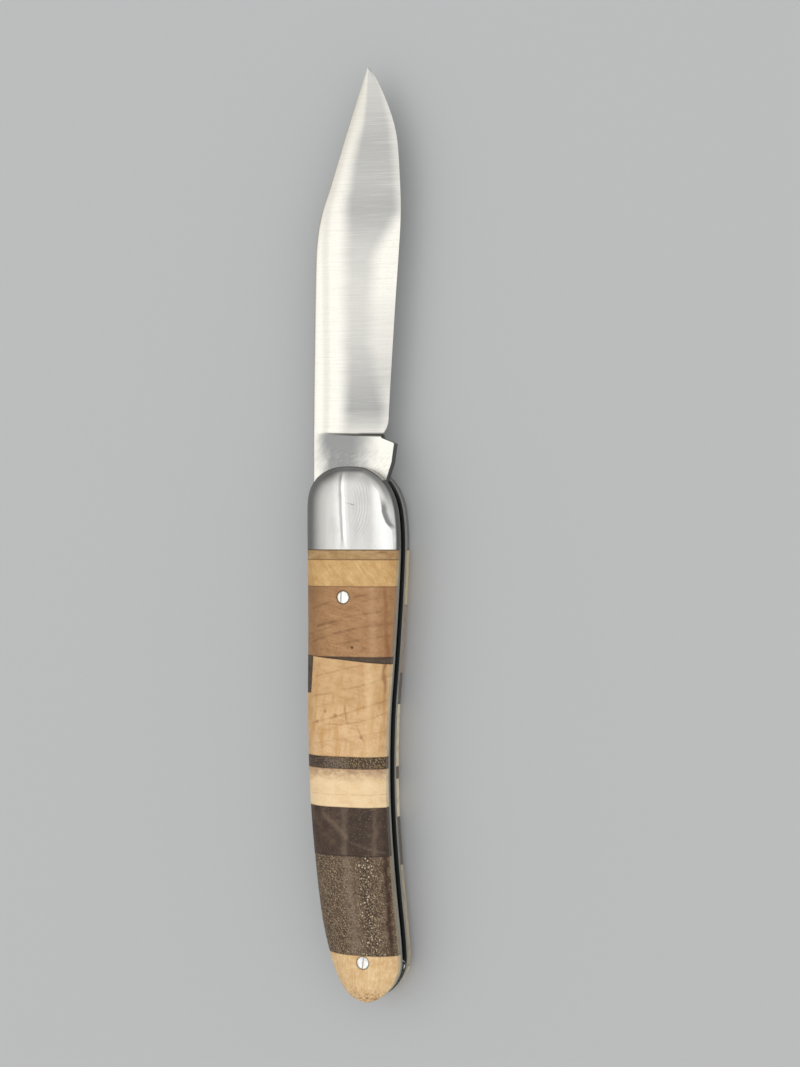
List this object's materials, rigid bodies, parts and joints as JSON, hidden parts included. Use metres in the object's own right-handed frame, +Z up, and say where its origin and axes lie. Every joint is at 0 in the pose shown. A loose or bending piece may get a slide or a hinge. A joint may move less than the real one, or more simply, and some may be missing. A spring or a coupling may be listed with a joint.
{
  "type": "folding pocket knife",
  "caption": "Open slip joint folding knife with a clip point blade, a sway back handle, polished bolsters and scales of glued wood blocks.",
  "frame": {"origin": "on the pivot's axis, on the plane that the knife lies on", "axes": "+Y towards the open blade's tip, +X towards the cutting edge and the mouth of the slot, +Z up, square to the flat of the blade"},
  "size_m": [0.019, 0.1831, 0.0128],
  "materials": {
    "blade_steel": "satin, fine crosswise brushing",
    "spring_steel": "polished",
    "liner_metal": "dull, sheet metal with polished edges",
    "bolster_metal": "polished nickel silver with fine swirl marks",
    "pin_metal": "polished nickel silver",
    "wood_tan": "polished",
    "wood_yellow": "polished",
    "wood_cherry": "polished, dark growth lines",
    "wood_maple": "polished, fine grain lines",
    "wood_dark": "polished, speckled",
    "wood_pale": "polished",
    "wood_walnut": "polished, lighter slanting streaks",
    "wood_porous": "polished, open pores",
    "wood_butt": "polished"
  },
  "bodies": {
    "handle": {"backspring": "spring_steel", "upper_liner": "liner_metal", "lower_liner": "liner_metal", "upper_bolster": "bolster_metal", "lower_bolster": "bolster_metal", "pivot_pin": "bolster_metal", "rear_pin": "pin_metal", "upper_front_pin": "pin_metal", "lower_front_pin": "pin_metal", "spring_pin": "pin_metal", "upper_tan_strip": "wood_tan", "upper_yellow_block": "wood_yellow", "upper_cherry_block": "wood_cherry", "upper_dark_wedge": "wood_dark", "upper_dark_sliver": "wood_dark", "upper_maple_block": "wood_maple", "upper_dark_band": "wood_dark", "upper_pale_block": "wood_pale", "upper_walnut_block": "wood_walnut", "upper_porous_block": "wood_porous", "upper_butt_block": "wood_butt", "lower_yellow_block": "wood_yellow", "lower_cherry_block": "wood_cherry", "lower_dark_block": "wood_dark", "lower_maple_block": "wood_maple", "lower_dark_band": "wood_dark", "lower_pale_block": "wood_pale", "lower_walnut_block": "wood_walnut", "lower_porous_block": "wood_porous", "lower_butt_block": "wood_butt"},
    "blade": {"blade": "blade_steel"}
  },
  "joints": [
    {"name": "blade_pivot", "type": "hinge", "parent": "handle", "child": "blade", "pos_m": [0, 0, 0.0064], "axis": [0, 0, -1], "range_deg": [0, 178], "deforming": ["backspring"]}
  ]
}
